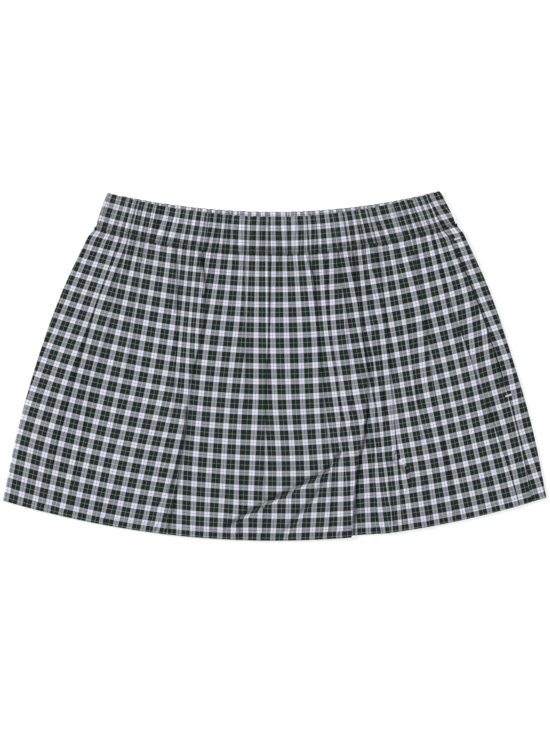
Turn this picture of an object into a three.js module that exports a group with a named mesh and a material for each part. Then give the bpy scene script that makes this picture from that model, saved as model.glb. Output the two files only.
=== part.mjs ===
import * as THREE from 'three';

// A short pull-on skirt in checked cotton, laid flat on its back. Each panel is a gathered
// rectangle whose top is turned down over elastic and stitched as a casing.
// Millimetres: +X runs to the right across the front, +Y from the hem to the waist, +Z up
// from the surface. The origin lies under the middle of the skirt.

// Driving dimensions
const CLOTH = 1.2;            // wall of one layer of cloth
const HEM_CLOTH = 1.8;        // wall where the hem is turned up twice
const CLEAR = 0.3;            // air between layers that lie on each other, and at seams
const WRAP = 16;              // how far each panel rolls round the edge to its side seam
const BACK_RISE = 4.4;        // how much higher the back of the band stands at the middle
const BACK_HEM_RISE = 1.5;    // how much shorter the back hem lies at the middle
const CASING_HALF = 1.8;      // half the thickness of the casing with its elastic
const CASING_EDGE_HALF = 0.9; // the same at its fold and at its stitched lower edge
const CASING_RADIUS = 2.1;    // bend of the band at its two side creases
const CASING_TUCKS = 36;      // small tucks across the front of the casing, as many behind
const GATHERS = 18;           // gathers that run on from them into each panel
const SEAM_SHIFT = CLEAR / 2; // half the gap between the casing and the panel under it

// Outline of the laid skirt. Each row is an arc through its left end, its middle and its
// right end. The casing has its fold and its stitched edge, and the body has five rows
// at equal steps from the stitched edge to the hem.
const CASING_ROWS = [
  { leftX: -184.5, leftY: 190.3, midY: 163.9, rightX: 182.3, rightY: 192.3 },
  { leftX: -197.7, leftY: 151.3, midY: 122.1, rightX: 200.3, rightY: 155.1 },
];
const BODY_ROWS = [
  { leftX: -201.0, leftY: 150.4, midY: 122.1, rightX: 203.5, rightY: 154.0 },
  { leftX: -234.0, leftY: 81.0, midY: 43.5, rightX: 235.3, rightY: 84.5 },
  { leftX: -261.0, leftY: 6.1, midY: -35.1, rightX: 260.9, rightY: 9.4 },
  { leftX: -282.4, leftY: -70.5, midY: -113.7, rightX: 282.8, rightY: -66.8 },
  { leftX: -299.0, leftY: -148.0, midY: -192.3, rightX: 299.0, rightY: -144.5 },
];

// Largest folds of the front, from left to right, at the same five rows: where the edge of
// the upper layer lies, and how much cloth is hidden under it. top is the side that lies on
// top, and steps is the number of strips of cloth between the fold and the one to its left.
const FOLDS = [
  { top: 'left', steps: 6, edgeX: [-170, -196, -219.5, -239, -253], hidden: [8, 9.5, 2.5, 0, 0] },
  { top: 'left', steps: 12, edgeX: [-106, -107.7, -111.2, -121, -130], hidden: [6, 8, 1, 0, 0] },
  { top: 'left', steps: 7, edgeX: [-73, -85, -95.6, -103.5, -119.3], hidden: [0, 0, 1.5, 10.5, 9] },
  { top: 'left', steps: 20, edgeX: [34, 46.5, 47, 47, 47], hidden: [5, 2.5, 0, 0, 0] },
  { top: 'left', steps: 3, edgeX: [44, 58.3, 70.5, 68, 68], hidden: [0, 4.5, 1.5, 0, 0] },
  { top: 'left', steps: 7, edgeX: [82, 93, 101, 90, 84], hidden: [5, 9, 13, 15, 15] },
  { top: 'left', steps: 6, edgeX: [115, 127, 139, 151, 160], hidden: [6, 3.5, 0, 0, 0] },
  { top: 'left', steps: 10, edgeX: [163, 192.5, 218.5, 244.6, 268.5], hidden: [0, 2.5, 5.5, 6.5, 8] },
];
const LAST_STEPS = 4;         // strips from the last fold to the side seam
const BACK_STEPS = 60;        // strips along the back panel's underside
const ARC_STEPS = 3;          // strips round each of a fold's two bends
const SHORTEST_RUN = 0.4;     // cloth between a fold's two bends where nothing overlaps
const RAMP = 20;              // how far from a fold the upper layer starts to rise
const SHELF = 3;              // level stretch of the upper layer past what it covers
const FOLD_CALM = 7;          // cloth this near to a fold has no gathers of its own

// Heights of the layers' middles
const BACK_TOP_HEIGHT = 1.7;  // back panel at the casing
const FRONT_TOP_HEIGHT = 5.4; // front panel at the casing
const FRONT_LOW_HEIGHT = 3.0; // front panel where the gathers have ended
const BACK_FADE = 0.16;       // part of the length over which the back comes down
const FRONT_FADE = 0.34;      // the same on the front
const FRONT_WAVE = 1.2;       // height of the front's gathers at the casing
const BACK_WAVE = 1.0;        // height of the back's gathers at the casing
const LONG_WAVE = 0.8;        // height of the soft folds below the gathers
const LONG_WAVES = 7;
const FLAT_FROM = 0.55;       // the back lies flat on the surface from here to its hem
const CALM_EDGE = 30;         // cloth beside the side creases stays level

// Rows of the panels' walls, from the casing to the hem, and their wall there
const HEM_START = 0.97;
const PANEL_LEVELS = [0, 0.05, 0.13, 0.24, 0.37, 0.5, 0.63, 0.76, 0.88, HEM_START, HEM_START + 0.005, 1];
// Rows of the casing, from its fold to its stitched edge
const CASING_LEVELS = [
  { rise: 0, half: CASING_EDGE_HALF },
  { rise: 0.14, half: CASING_HALF },
  { rise: 0.8, half: CASING_HALF },
  { rise: 1, half: CASING_EDGE_HALF },
];
const TUCK_DEPTH = 0.3;       // part of the casing's half thickness that a tuck dips
const TUCK_STEPS = 3;

// Pocket bag: how deep it reaches in from the side seam at equal steps from the top of the
// bag to its foot, and where its edge at the seam lies
const POCKET_TOP = 0.05;
const POCKET_FOOT = 0.86;
const POCKET_ROWS = 9;
const POCKET_DEPTHS = [34, 92, 118, 124, 126, 126, 122, 108, 62];
const POCKET_SEAM_EDGE = [1.5, 1.5, 1.5, 1.5, 1.5, 1.5, 4, 12, 30];
const POCKET_STEPS = 8;
const POCKET_CLOTH = 1.2;     // both layers of the bag
const POCKET_MARGIN = 22;     // distance over which the front rises to pass over the bag
const POCKET_LIFT = 1.1;

const { clamp, lerp, smoothstep } = THREE.MathUtils;

// Smooth curve through values at equal steps of t from 0 to 1
function along(values, t) {
  const last = values.length - 1;
  const scaled = clamp(t, 0, 1) * last;
  const i = Math.min(Math.floor(scaled), last - 1);
  const f = scaled - i;
  const before = i > 0 ? values[i - 1] : 2 * values[0] - values[1];
  const after = i < last - 1 ? values[i + 2] : 2 * values[last] - values[last - 1];
  const slopeIn = (values[i + 1] - before) / 2;
  const slopeOut = (after - values[i]) / 2;
  const rise = values[i + 1] - values[i];
  const bend = 3 * rise - 2 * slopeIn - slopeOut;
  const twist = slopeIn + slopeOut - 2 * rise;
  return values[i] + f * (slopeIn + f * (bend + f * twist));
}

// The arc of one row: its ends, moved up by a shift, and how far the back rises over it
function rowAt(rows, level, backRise, shift) {
  const row = { level, backRise };
  for (const key of ['leftX', 'leftY', 'midY', 'rightX', 'rightY']) {
    row[key] = along(rows.map((each) => each[key]), level) + (key.endsWith('Y') ? shift : 0);
  }
  return row;
}

// A point of a row's arc, moved along the arc and upwards by an offset along the wall's normal
function onRow(row, point, offset, isBack) {
  const endX = point.x < 0 ? row.leftX : row.rightX;
  const endY = point.x < 0 ? row.leftY : row.rightY;
  const part = point.x / endX;
  const rise = isBack ? row.backRise * (1 - part * part) : 0;
  const y = row.midY + (endY - row.midY) * part * part + rise;
  const slope = Math.atan((2 * (endY - row.midY) * part) / endX);
  const aside = -Math.sin(point.turn) * offset;
  return new THREE.Vector3(
    point.x + aside * Math.cos(slope),
    y + aside * Math.sin(slope),
    point.z + Math.cos(point.turn) * offset,
  );
}

// Uneven count of waves across a row, the same for the casing and the panels
function wavePhase(row, x, count) {
  const part = (x - row.leftX) / (row.rightX - row.leftX);
  const uneven = 0.011 * Math.sin(18.8 * part + 0.4) + 0.006 * Math.sin(46 * part);
  return 2 * Math.PI * count * (part + uneven);
}

// 1 in the middle of a row, falling to 0 at its side creases
function calm(row, x) {
  return smoothstep(x, row.leftX + 4, row.leftX + 4 + CALM_EDGE)
    * (1 - smoothstep(x, row.rightX - 4 - CALM_EDGE, row.rightX - 4));
}

// 1 at a fold that takes up much cloth, falling to 0 beside it
function besideFold(row, x) {
  const nearness = row.folds.map((fold) => {
    const strength = smoothstep(fold.taken, 0, 4);
    return strength * (1 - smoothstep(Math.abs(x - fold.edgeX), FOLD_CALM, 2.5 * FOLD_CALM));
  });
  return Math.max(...nearness);
}

// 1 over the pocket bag, falling to 0 round it
function overPocket(row, x) {
  const { level } = row;
  const down = (level - POCKET_TOP) / (POCKET_FOOT - POCKET_TOP);
  const depth = along(POCKET_DEPTHS, down) + WRAP;
  const fromInside = row.rightX - depth - x;
  const across = 1 - smoothstep(fromInside, 2, POCKET_MARGIN);
  const below = 1 - smoothstep(level, POCKET_FOOT + 0.02, POCKET_FOOT + 0.1);
  return across * below * (1 - smoothstep(x, row.rightX - WRAP - 2, row.rightX - 4));
}

// Middle of the back panel's wall above the surface
function backHeight(row, x) {
  const high = 1 - smoothstep(row.level, 0, BACK_FADE);
  const gathers = BACK_WAVE * high * Math.cos(wavePhase(row, x, GATHERS));
  const soft = LONG_WAVE * (0.5 - 0.5 * Math.cos(wavePhase(row, x, LONG_WAVES)));
  const free = calm(row, x) * (1 - overPocket(row, x));
  const settled = high + smoothstep(row.level, FLAT_FROM - 0.3, FLAT_FROM);
  return lerp(row.wall / 2, BACK_TOP_HEIGHT, high) + free * (gathers + soft * (1 - settled));
}

// Middle of the front panel's wall above the surface, without its folds
function frontHeight(row, x) {
  const high = 1 - smoothstep(row.level, 0, FRONT_FADE);
  const base = lerp(FRONT_LOW_HEIGHT, FRONT_TOP_HEIGHT, high);
  const gathers = FRONT_WAVE * high * Math.cos(wavePhase(row, x, GATHERS));
  const soft = LONG_WAVE * (0.5 - 0.5 * Math.sin(wavePhase(row, x, LONG_WAVES)));
  const pocket = overPocket(row, x);
  const waves = gathers * (1 - pocket) * (1 - besideFold(row, x)) + soft;
  return base + calm(row, x) * waves + pocket * POCKET_LIFT;
}

// A fold seen end on, as points from the start of its first bend. The cloth turns down and
// back under itself, then on again. hidden is the cloth that it takes up, and a shallow
// fold is an open ripple of the same length of cloth.
function foldShape(hidden, radius) {
  const arc = Math.PI * radius;
  let low = 0.02;
  let high = Math.PI;
  if (hidden >= 2 * arc) low = high;
  while (high - low > 1e-6) {
    const middle = (low + high) / 2;
    if (2 * arc * (1 - Math.sin(middle) / middle) < hidden) low = middle;
    else high = middle;
  }
  const bend = high;
  const bendRadius = arc / bend;
  const run = Math.max(SHORTEST_RUN, (hidden - 2 * arc) / 2);
  const points = [];
  for (let k = 0; k <= ARC_STEPS; k += 1) {
    const turned = (bend * k) / ARC_STEPS;
    const z = bendRadius * (Math.cos(turned) - 1);
    points.push({ x: bendRadius * Math.sin(turned), z, turn: -turned });
  }
  const reach = 2 * bendRadius * Math.sin(bend) + run * Math.cos(bend);
  const drop = 2 * bendRadius * (Math.cos(bend) - 1) - run * Math.sin(bend);
  for (let k = ARC_STEPS; k >= 0; k -= 1) {
    const mirror = points[k];
    points.push({ x: reach - mirror.x, z: drop - mirror.z, turn: mirror.turn });
  }
  return { points, reach, drop: -drop };
}

// The folds of one row, placed so that the edge of each upper layer lies where it should
function foldsAt(level, wall) {
  return FOLDS.map((fold) => {
    const taken = Math.max(0, along(fold.hidden, level));
    const shape = foldShape(taken, (wall + CLEAR) / 2);
    const edgeX = along(fold.edgeX, level);
    const leftOnTop = fold.top === 'left';
    const reaches = shape.points.map((point) => point.x);
    const startX = edgeX - (leftOnTop ? Math.max(...reaches) : Math.min(...reaches));
    const endX = startX + shape.reach;
    const shelf = Math.max(0, startX - endX) + SHELF;
    return { ...shape, steps: fold.steps, taken, edgeX, leftOnTop, startX, endX, shelf };
  });
}

// How far the upper layer of the folds to the right of a point, or to its left, lifts it
function foldLift(row, next, x) {
  let lift = 0;
  row.folds.forEach((fold, i) => {
    if (fold.leftOnTop && i >= next) {
      const ramp = Math.min(RAMP, fold.startX - fold.shelf - row.leftX - 4);
      lift += fold.drop * smoothstep(x, fold.startX - fold.shelf - ramp, fold.startX - fold.shelf);
    }
    if (!fold.leftOnTop && i < next) {
      const ramp = Math.min(RAMP, row.rightX - WRAP - fold.endX - fold.shelf);
      lift += fold.drop * (1 - smoothstep(x, fold.endX + fold.shelf, fold.endX + fold.shelf + ramp));
    }
  });
  return lift;
}

// Points of a path of cloth that rests on a height: the wall's direction follows the slope
function settle(x, turn, height, extra) {
  const step = 0.5;
  const slope = (height(x + step) - height(x - step)) / (2 * step);
  const sloped = Math.atan2(Math.sin(turn) + slope * Math.cos(turn), Math.cos(turn));
  return { x, z: height(x) + extra, turn: sloped };
}

// Round a side crease, from the layer below to the one above or back down
function crease(x, low, high, fromTurn, toTurn) {
  const radius = (high - low) / 2;
  const steps = 4;
  const points = [];
  for (let k = 0; k <= steps; k += 1) {
    const turn = lerp(fromTurn, toTurn, k / steps);
    points.push({ x: x - Math.sin(turn) * radius, z: low + radius + Math.cos(turn) * radius, turn });
  }
  return points;
}

// Equal steps along a height from one place towards another, without the last point
function strips(fromX, toX, steps, turn, height) {
  const points = [];
  for (let k = 0; k < steps; k += 1) {
    points.push(settle(lerp(fromX, toX, k / steps), turn, height, 0));
  }
  return points;
}

// The front panel's path across one row: from the left side seam on the underside, round the
// left crease, and over the top with its folds to the right side seam
function frontPanelPath(row) {
  const low = backHeight(row, row.leftX);
  const high = frontHeight(row, row.leftX);
  const creaseX = row.leftX + (high - low) / 2 + row.wall / 2;
  const path = strips(row.leftX + WRAP, creaseX, 2, Math.PI, () => low);
  path.push(...crease(creaseX, low, high, Math.PI, 0));
  let fromX = creaseX;
  row.folds.forEach((fold, i) => {
    const before = (x) => frontHeight(row, x) + foldLift(row, i, x);
    path.push(...strips(fromX, fold.startX, fold.steps, 0, before).slice(1));
    const inside = (x) => frontHeight(row, x) + foldLift(row, fold.leftOnTop ? i + 1 : i, x);
    const up = fold.leftOnTop ? 1 : -1;
    const base = fold.leftOnTop ? fold.drop : 0;
    for (const point of fold.points) {
      path.push(settle(fold.startX + point.x, up * point.turn, inside, base + up * point.z));
    }
    fromX = fold.endX;
  });
  const after = (x) => frontHeight(row, x) + foldLift(row, row.folds.length, x);
  const seamX = row.rightX - WRAP - CLEAR / 2;
  path.push(...strips(fromX, seamX, LAST_STEPS, 0, after).slice(1));
  path.push(settle(seamX, 0, after, 0));
  return path;
}

// The back panel's path: from the right side seam on the front, round the right crease, and
// along the underside to the left side seam
function backPanelPath(row) {
  const low = backHeight(row, row.rightX);
  const high = frontHeight(row, row.rightX);
  const creaseX = row.rightX - (high - low) / 2 - row.wall / 2;
  const path = strips(row.rightX - WRAP + CLEAR / 2, creaseX, 2, 0, (x) => frontHeight(row, x));
  path.push(...crease(creaseX, low, high, 0, -Math.PI));
  const under = (x) => backHeight(row, x);
  const seamX = row.leftX + WRAP + CLEAR;
  path.push(...strips(creaseX, seamX, BACK_STEPS, -Math.PI, under).slice(1));
  path.push(settle(seamX, -Math.PI, under, 0));
  return path;
}

// The casing's two halves take the same ways round, with no folds
function casingPath(row, isBack) {
  const low = CASING_HALF;
  const high = low + 2 * CASING_RADIUS;
  const steps = CASING_TUCKS * TUCK_STEPS;
  const leftX = row.leftX + CASING_RADIUS + CASING_HALF;
  const rightX = row.rightX - CASING_RADIUS - CASING_HALF;
  const seamX = isBack ? row.leftX + WRAP + CLEAR : row.rightX - WRAP - CLEAR / 2;
  const flat = isBack ? low : high;
  const turn = isBack ? -Math.PI : 0;
  const wrapFrom = isBack ? row.rightX - WRAP + CLEAR / 2 : row.leftX + WRAP;
  const creaseX = isBack ? rightX : leftX;
  const path = strips(wrapFrom, creaseX, 2, turn + Math.PI, () => (isBack ? high : low));
  path.push(...crease(creaseX, low, high, turn + Math.PI, turn));
  path.push(...strips(creaseX, seamX, steps, turn, () => flat).slice(1));
  path.push(settle(seamX, turn, () => flat, 0));
  return path;
}

// A closed wall between an outer and an inner sheet of points, [across][down]
function wallGeometry(outer, inner) {
  const across = outer.length;
  const down = outer[0].length;
  const positions = [...outer.flat(), ...inner.flat()].flatMap((point) => point.toArray());
  const indices = [];
  const quad = (a, b, c, d) => indices.push(a, b, c, a, c, d);
  const out = (i, j) => i * down + j;
  const inn = (i, j) => (across + i) * down + j;
  for (let i = 0; i < across - 1; i += 1) {
    for (let j = 0; j < down - 1; j += 1) {
      quad(out(i, j), out(i, j + 1), out(i + 1, j + 1), out(i + 1, j));
      quad(inn(i, j), inn(i + 1, j), inn(i + 1, j + 1), inn(i, j + 1));
    }
    quad(out(i, 0), out(i + 1, 0), inn(i + 1, 0), inn(i, 0));
    quad(out(i + 1, down - 1), out(i, down - 1), inn(i, down - 1), inn(i + 1, down - 1));
  }
  for (let j = 0; j < down - 1; j += 1) {
    quad(out(0, j + 1), out(0, j), inn(0, j), inn(0, j + 1));
    quad(out(across - 1, j), out(across - 1, j + 1), inn(across - 1, j + 1), inn(across - 1, j));
  }
  const geometry = new THREE.BufferGeometry();
  geometry.setAttribute('position', new THREE.Float32BufferAttribute(positions, 3));
  geometry.setIndex(indices);
  geometry.computeVertexNormals();
  return geometry;
}

// Turns columns listed row by row into sheets of points listed across and down
function sheetOf(rowsOfPoints) {
  return rowsOfPoints[0].map((_, i) => rowsOfPoints.map((points) => points[i]));
}

function panelGeometry(pathOf, isBack) {
  const outer = [];
  const inner = [];
  for (const level of PANEL_LEVELS) {
    const backRise = lerp(BACK_RISE, BACK_HEM_RISE, level);
    const row = rowAt(BODY_ROWS, level, backRise, level === 0 ? -SEAM_SHIFT : 0);
    row.wall = level > HEM_START ? HEM_CLOTH : CLOTH;
    row.folds = foldsAt(level, row.wall);
    const path = pathOf(row);
    outer.push(path.map((point) => onRow(row, point, row.wall / 2, isBack)));
    inner.push(path.map((point) => onRow(row, point, -row.wall / 2, isBack)));
  }
  return wallGeometry(sheetOf(outer), sheetOf(inner));
}

function casingGeometry(isBack) {
  const outer = [];
  const inner = [];
  for (const { rise, half } of CASING_LEVELS) {
    const row = rowAt(CASING_ROWS, rise, BACK_RISE, rise === 1 ? SEAM_SHIFT : 0);
    const path = casingPath(row, isBack);
    const wave = (x) => 0.5 - 0.5 * Math.cos(wavePhase(row, x, CASING_TUCKS));
    const tuck = (x) => TUCK_DEPTH * calm(row, x) * wave(x);
    outer.push(path.map((point) => onRow(row, point, half * (1 - tuck(point.x)), isBack)));
    inner.push(path.map((point) => onRow(row, point, -half, isBack)));
  }
  return wallGeometry(sheetOf(outer), sheetOf(inner));
}

// The pocket bag lies between the panels and hangs from the seam opening
function pocketGeometry() {
  const outer = [];
  const inner = [];
  for (let k = 0; k < POCKET_ROWS; k += 1) {
    const down = k / (POCKET_ROWS - 1);
    const level = lerp(POCKET_TOP, POCKET_FOOT, down);
    const row = rowAt(BODY_ROWS, level, 0, 0);
    row.wall = CLOTH;
    const seamX = row.rightX - WRAP - along(POCKET_SEAM_EDGE, down);
    const insideX = row.rightX - WRAP - along(POCKET_DEPTHS, down);
    const height = (x) => backHeight(row, x) + CLOTH / 2 + CLEAR + POCKET_CLOTH / 2;
    const path = strips(insideX, seamX, POCKET_STEPS, 0, height);
    path.push(settle(seamX, 0, height, 0));
    outer.push(path.map((point) => onRow(row, point, POCKET_CLOTH / 2, false)));
    inner.push(path.map((point) => onRow(row, point, -POCKET_CLOTH / 2, false)));
  }
  return wallGeometry(sheetOf(outer), sheetOf(inner));
}

const checkedCotton = new THREE.MeshStandardMaterial({ color: 0x5e6f68, roughness: 0.9, metalness: 0 });
const pocketCotton = new THREE.MeshStandardMaterial({ color: 0xe6e4ea, roughness: 0.9, metalness: 0 });

const skirt = new THREE.Group();
function addPiece(name, geometry, material) {
  const mesh = new THREE.Mesh(geometry, material);
  mesh.name = name;
  skirt.add(mesh);
}
addPiece('front_panel', panelGeometry(frontPanelPath, false), checkedCotton);
addPiece('back_panel', panelGeometry(backPanelPath, true), checkedCotton);
addPiece('front_casing', casingGeometry(false), checkedCotton);
addPiece('back_casing', casingGeometry(true), checkedCotton);
addPiece('pocket_bag', pocketGeometry(), pocketCotton);

export default skirt;
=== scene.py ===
import math

import bpy
import numpy as np
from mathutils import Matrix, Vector


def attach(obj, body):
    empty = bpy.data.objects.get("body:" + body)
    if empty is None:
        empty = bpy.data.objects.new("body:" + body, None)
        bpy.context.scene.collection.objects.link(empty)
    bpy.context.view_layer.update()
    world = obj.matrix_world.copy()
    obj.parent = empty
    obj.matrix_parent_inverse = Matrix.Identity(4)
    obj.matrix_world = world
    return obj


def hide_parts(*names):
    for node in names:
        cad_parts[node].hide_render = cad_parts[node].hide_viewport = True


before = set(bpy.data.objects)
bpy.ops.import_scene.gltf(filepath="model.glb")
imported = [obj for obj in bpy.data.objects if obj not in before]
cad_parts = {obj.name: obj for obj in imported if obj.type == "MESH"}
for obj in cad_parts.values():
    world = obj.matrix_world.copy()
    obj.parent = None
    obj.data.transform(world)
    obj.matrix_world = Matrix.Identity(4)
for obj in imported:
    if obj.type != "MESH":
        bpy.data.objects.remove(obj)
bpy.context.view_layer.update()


def table(columns, *rows):
    """Rows of values as dictionaries, one key for each column."""
    return [dict(zip(columns, row)) for row in rows]


# Lie of the skirt
# A pull-on skirt of two gathered rectangles, laid flat on its back. Every piece follows the
# same rows across it: an arc through its left end, its middle and its right end. Shapes are
# worked out in millimetres and become metres as the meshes are made.
CUT_LENGTH = 315.0
WRAP = 16.0
STRAND_LEFT = 201.0
STRAND_RIGHT = 203.5
STRAND_FAN = 1.2
POUCH_DEPTHS = [34, 92, 118, 124, 126, 126, 122, 108, 62]
BACK_RISE_AT_BAND = 5.4
BACK_RISE_AT_HEM = 1.5
ROW_COLUMNS = ("left_x", "left_y", "mid_y", "right_x", "right_y")
BODY_ROWS = table(
    ROW_COLUMNS,
    (-201.0, 150.4, 122.1, 203.5, 154.0),
    (-234.0, 81.0, 43.5, 235.3, 84.5),
    (-261.0, 6.1, -35.1, 260.9, 9.4),
    (-282.4, -70.5, -113.7, 282.8, -66.8),
    (-298.6, -147.8, -191.9, 298.6, -144.3),
)


def along(values, t):
    """A smooth curve through values at equal steps of t from 0 to 1."""
    last = len(values) - 1
    scaled = min(max(t, 0.0), 1.0) * last
    i = min(int(scaled), last - 1)
    f = scaled - i
    before = values[i - 1] if i > 0 else 2 * values[0] - values[1]
    after = values[i + 2] if i < last - 1 else 2 * values[last] - values[last - 1]
    slope_in = (values[i + 1] - before) / 2
    slope_out = (after - values[i]) / 2
    rise = values[i + 1] - values[i]
    bend = 3 * rise - 2 * slope_in - slope_out
    return values[i] + f * (slope_in + f * (bend + f * (slope_in + slope_out - 2 * rise)))


def smooth(x, low, high):
    t = np.clip((x - low) / (high - low), 0.0, 1.0)
    return t * t * (3 - 2 * t)


def row_at(rows, level, back=False):
    """The arc at a level between 0 and 1, and past its ends in a straight line down the cloth."""
    row = {key: along([each[key] for each in rows], level) for key in rows[0]}
    row["level"] = level
    row["back_rise"] = (1 - level) * BACK_RISE_AT_BAND + level * BACK_RISE_AT_HEM if back else 0.0
    return row


def on_row(row, x, z, turn, offset):
    """Points of a row's arc, moved by an offset along the cloth's own upward direction."""
    end_x = np.where(x < 0, row["left_x"], row["right_x"])
    end_y = np.where(x < 0, row["left_y"], row["right_y"])
    part = x / end_x
    y = row["mid_y"] + (end_y - row["mid_y"]) * part**2 + row["back_rise"] * (1 - part**2)
    slope = np.arctan(2 * (end_y - row["mid_y"]) * part / end_x)
    aside = -np.sin(turn) * offset
    return np.stack(
        [x + aside * np.cos(slope), y + aside * np.sin(slope), z + np.cos(turn) * offset], axis=1
    )


def strand(row, x):
    """Which strand of cloth passes through x, named by its place at the band in millimetres."""
    half = np.where(x < 0, -row["left_x"], row["right_x"])
    top = np.where(x < 0, STRAND_LEFT, STRAND_RIGHT)
    share = np.abs(x) / half
    for _ in range(5):
        share = np.abs(x) / (top + (half - top) * share**STRAND_FAN)
    return np.sign(x) * share * top


def calm(row, x):
    """1 in the middle of a row, falling to 0 at its side creases."""
    left = smooth(x, row["left_x"] + 2, row["left_x"] + 24)
    return left * (1 - smooth(x, row["right_x"] - 24, row["right_x"] - 2))


def shell_mesh(name, outer, inner, across, down):
    """A closed wall between two sheets of points in millimetres, [row][column], whose cloth
    coordinates across and down, in millimetres too, go into the UV map Cloth in metres."""
    rows, columns = outer.shape[:2]
    points = np.concatenate([outer.reshape(-1, 3), inner.reshape(-1, 3)]) * 0.001
    half = rows * columns
    index = np.arange(half).reshape(rows, columns)
    a, b, c, d = index[:-1, :-1], index[1:, :-1], index[1:, 1:], index[:-1, 1:]
    top = np.stack([a, b, c, d], axis=-1).reshape(-1, 4)
    bottom = np.stack([a, d, c, b], axis=-1).reshape(-1, 4) + half
    rims = []
    edges = ((index[0], False), (index[-1], True), (index[:, 0], True), (index[:, -1], False))
    for edge, flip in edges:
        p, q = edge[:-1], edge[1:]
        if flip:
            p, q = q, p
        rims.append(np.stack([p, q, q + half, p + half], axis=-1))
    faces = np.concatenate([top, bottom] + rims)
    mesh = bpy.data.meshes.new(name)
    mesh.from_pydata(points.tolist(), [], faces.tolist())
    mesh.polygons.foreach_set("use_smooth", np.ones(len(faces), dtype=bool))
    cloth = np.stack([across.ravel(), down.ravel()], axis=1) * 0.001
    cloth = np.concatenate([cloth, cloth])
    layer = mesh.uv_layers.new(name="Cloth")
    layer.data.foreach_set("uv", cloth[faces.ravel()].ravel())
    mesh.update()
    obj = bpy.data.objects.new(name, mesh)
    bpy.context.collection.objects.link(obj)
    return obj


# Checked cotton
# Light plain-woven shirting, yarn-dyed: white with a thin lilac line, then navy, dark green and
# a thin light green line, the same in warp and weft, so that they mix where they cross.
WARP_REPEAT = 15.5
WEFT_REPEAT = 16.7
WARP_PHASE = 5.0
WEFT_PHASE = 4.5
YARN = 0.42
CROSSED_SHARE = 0.34
BASE_TONE = 0.62
SLUB_TONE = 0.30
WASHED_TONE = 0.16
# Painted shade: how much the colour darkens over the puckers along the casing's stitching
PUCKER_PAINTED_SHADE = 0.24
# Painted light and shade: how much the colour lightens and darkens with the small gathers under the
# band
GATHER_PAINTED_SHADING = 0.9
# Painted light and shade along the sharp creases: how much the colour changes for each millimetre of
# a crease's height, and the limits of the painted light and the painted shade
SHARP_PAINTED_SHADING = 0.13
SHARP_PAINTED_LIGHT_LIMIT = 2.2
SHARP_PAINTED_SHADE_LIMIT = -4.5
# Heights of the bump in millimetres, which shade the cloth and don't shape it
WEAVE_BUMP = 0.03
CRUMPLE_BUMP = 0.55
PUCKER_BUMP = 1.3
GATHER_BUMP = 5.5
SLUB_BUMP = 0.08
BUMP_STRENGTH = 0.6


class Shade:
    """A socket of one material, so that sums on it read as they are written."""

    def __init__(self, tree, socket):
        self.tree = tree
        self.socket = socket

    def node(self, kind, settings, values, output=0):
        node = self.tree.nodes.new(kind)
        for key, value in settings.items():
            if key == "stops":
                stops = node.color_ramp.elements
                while len(stops) < len(value):
                    stops.new(1.0)
                for stop, (place, colour) in zip(stops, value):
                    stop.position = place
                    stop.color = colour
            elif key == "interpolation":
                node.color_ramp.interpolation = value
            else:
                setattr(node, key, value)
        for key, value in values.items():
            if isinstance(value, Shade):
                self.tree.links.new(value.socket, node.inputs[key])
            else:
                node.inputs[key].default_value = value
        return Shade(self.tree, node.outputs[output])

    def math(self, operation, *values):
        return self.node("ShaderNodeMath", {"operation": operation}, dict(enumerate(values)))

    def __add__(self, other):
        return self.math("ADD", self, other)

    __radd__ = __add__

    def __sub__(self, other):
        return self.math("SUBTRACT", self, other)

    def __rsub__(self, other):
        return self.math("SUBTRACT", other, self)

    def __mul__(self, other):
        return self.math("MULTIPLY", self, other)

    __rmul__ = __mul__

    def __truediv__(self, other):
        return self.math("DIVIDE", self, other)


def linear(red, green, blue):
    """A colour given as on a screen, 0 to 255, as the light that it is."""
    parts = [value / 255 for value in (red, green, blue)]
    return tuple(v / 12.92 if v < 0.04045 else ((v + 0.055) / 1.055) ** 2.4 for v in parts) + (1.0,)


WHITE_YARN = linear(238, 238, 250)
LILAC_YARN = linear(168, 166, 188)
NAVY_YARN = linear(26, 33, 42)
GREEN_YARN = linear(20, 42, 34)
LIGHT_GREEN_YARN = linear(172, 200, 176)


def new_material(name):
    material = bpy.data.materials.new(name)
    material.use_nodes = True
    tree = material.node_tree
    tree.nodes.clear()
    surface = tree.nodes.new("ShaderNodeBsdfPrincipled")
    output = tree.nodes.new("ShaderNodeOutputMaterial")
    tree.links.new(surface.outputs["BSDF"], output.inputs["Surface"])
    return material, tree, surface


def set_inputs(node, values):
    for key, value in values.items():
        node.inputs[key].default_value = value


def in_millimetres(tree, source, output):
    """The first two coordinates of a node's output in metres, in millimetres."""
    split = tree.nodes.new("ShaderNodeSeparateXYZ")
    tree.links.new(source.outputs[output], split.inputs["Vector"])
    return [Shade(tree, split.outputs[axis]) * 1000.0 for axis in "XY"]


def cloth_places(tree):
    """Places across and down the cloth, from its UV map."""
    uv_node = tree.nodes.new("ShaderNodeUVMap")
    uv_node.uv_map = "Cloth"
    return in_millimetres(tree, uv_node, "UV")


def add_bump(shade, surface, strength, height):
    values = {"Strength": strength, "Distance": 0.001, "Height": height}
    bump = shade.node("ShaderNodeBump", {}, values)
    shade.tree.links.new(bump.socket, surface.inputs["Normal"])


def add_colour(shade, surface, colour, tone):
    values = {"Vector": colour, "Scale": tone}
    toned = shade.node("ShaderNodeVectorMath", {"operation": "SCALE"}, values)
    shade.tree.links.new(toned.socket, surface.inputs["Base Color"])


def mixed(shade, factor, first, second, blend_type="MIX"):
    """Two colours mixed, or the first multiplied by the second."""
    settings = {"data_type": "RGBA", "blend_type": blend_type}
    return shade.node("ShaderNodeMix", settings, {"Factor": factor, "A": first, "B": second}, 2)


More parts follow.
